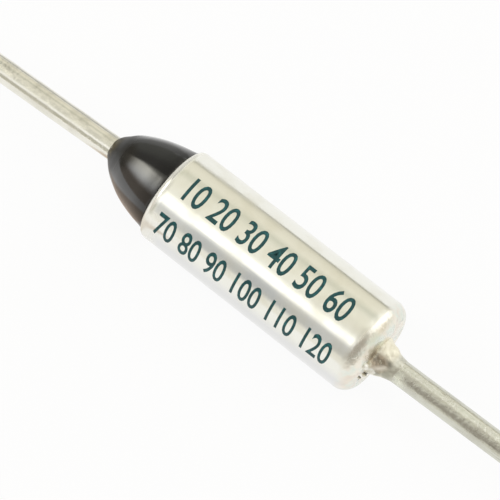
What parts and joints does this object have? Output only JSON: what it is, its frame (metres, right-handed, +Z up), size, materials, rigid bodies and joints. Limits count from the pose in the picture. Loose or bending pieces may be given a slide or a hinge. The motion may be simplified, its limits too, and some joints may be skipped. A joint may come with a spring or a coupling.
{
  "type": "axial thermal fuse",
  "caption": "One-shot axial thermal cut-off: silver metal can with a black bullet-shaped resin seal at one end and a straight wire lead from each end.",
  "frame": {"origin": "middle of the underside: the centre of the bounding box in plan, on the surface that the case lies on", "axes": "+X along the case and leads, from the resin seal with the isolated lead towards the closed end with the case lead; +Z up, off the surface"},
  "size_m": [0.0614, 0.004, 0.004],
  "materials": {
    "silver_plate": "polished",
    "tinned_copper": "satin",
    "weld_metal": "satin",
    "black_resin": "gloss",
    "pellet_compound": "matte",
    "brass_disc": "satin",
    "spring_steel": "satin",
    "bushing_ceramic": "matte",
    "teal_ink": "matte"
  },
  "bodies": {
    "root": {"case": "silver_plate", "case_lead": "tinned_copper", "isolated_lead": "tinned_copper", "lead_weld": "weld_metal", "epoxy_seal": "black_resin", "thermal_pellet": "pellet_compound", "pellet_disc": "brass_disc", "contact_disc": "brass_disc", "main_spring": "spring_steel", "trip_spring": "spring_steel", "star_contact": "silver_plate", "ceramic_bushing": "bushing_ceramic"}
  },
  "joints": []
}
